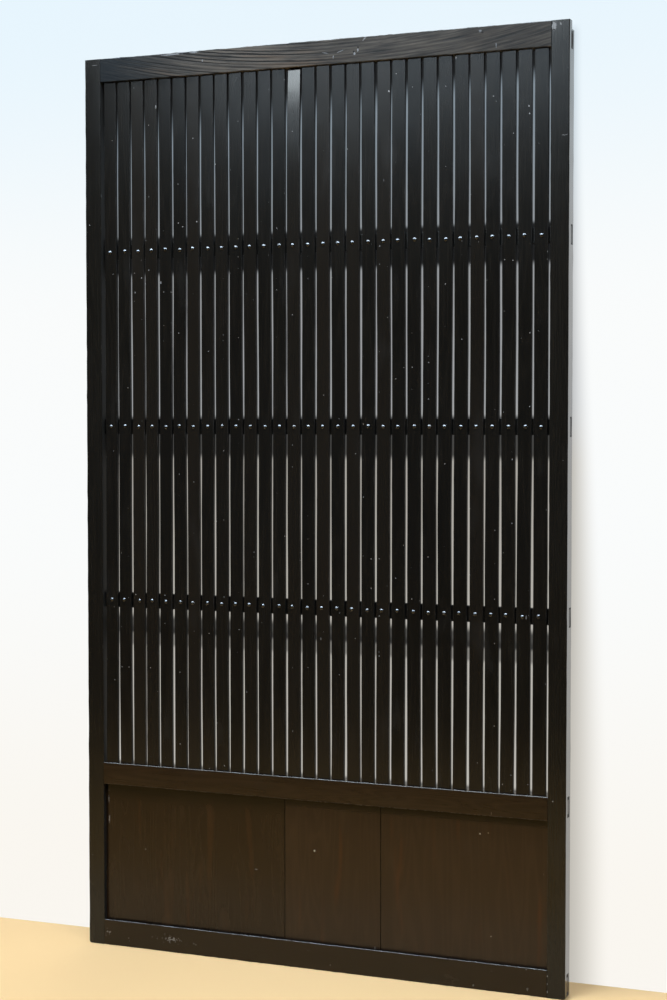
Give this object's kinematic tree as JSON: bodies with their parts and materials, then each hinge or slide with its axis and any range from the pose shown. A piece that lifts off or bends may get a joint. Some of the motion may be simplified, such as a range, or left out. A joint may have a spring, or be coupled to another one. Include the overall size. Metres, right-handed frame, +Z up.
{
  "type": "lattice door",
  "caption": "Dark stained sliding door leaf: nailed upright slats over cross rails above a waist panel of boards, in a frame of stiles and rails with wedged through tenons.",
  "frame": {"origin": "middle of the leaf's bottom edge, half way through its thickness", "axes": "+Z up the leaf, +X to the right seen from the slatted front, +Y from the front to the back"},
  "size_m": [0.985, 0.03, 1.758],
  "materials": {
    "frame_wood": "dark stained, worn satin",
    "top_rail_wood": "weathered, stain worn thin",
    "slat_wood": "dark stained satin",
    "cross_rail_wood": "dark stained satin",
    "panel_wood": "dark brown stained, satin",
    "wedge_wood": "end grain, dark",
    "nail_iron": "black, polished by handling"
  },
  "bodies": {
    "root": {"left_stile": "frame_wood", "right_stile": "frame_wood", "top_rail": "top_rail_wood", "middle_rail": "frame_wood", "bottom_rail": "frame_wood", "cross_rail_lower": "cross_rail_wood", "cross_rail_middle": "cross_rail_wood", "cross_rail_upper": "cross_rail_wood", "slat_01": "slat_wood", "slat_02": "slat_wood", "slat_03": "slat_wood", "slat_04": "slat_wood", "slat_05": "slat_wood", "slat_06": "slat_wood", "slat_07": "slat_wood", "slat_08": "slat_wood", "slat_09": "slat_wood", "slat_10": "slat_wood", "slat_11": "slat_wood", "slat_12": "slat_wood", "slat_13": "slat_wood", "slat_14": "slat_wood", "slat_15": "slat_wood", "slat_16": "slat_wood", "slat_17": "slat_wood", "slat_18": "slat_wood", "slat_19": "slat_wood", "slat_20": "slat_wood", "slat_21": "slat_wood", "slat_22": "slat_wood", "slat_23": "slat_wood", "slat_24": "slat_wood", "slat_25": "slat_wood", "slat_26": "slat_wood", "slat_27": "slat_wood", "slat_28": "slat_wood", "slat_29": "slat_wood", "slat_30": "slat_wood", "nails_lower": "nail_iron", "nails_middle": "nail_iron", "nails_upper": "nail_iron", "panel_board_left": "panel_wood", "panel_board_middle": "panel_wood", "panel_board_right": "panel_wood", "wedges_left": "wedge_wood", "wedges_right": "wedge_wood"}
  },
  "joints": []
}
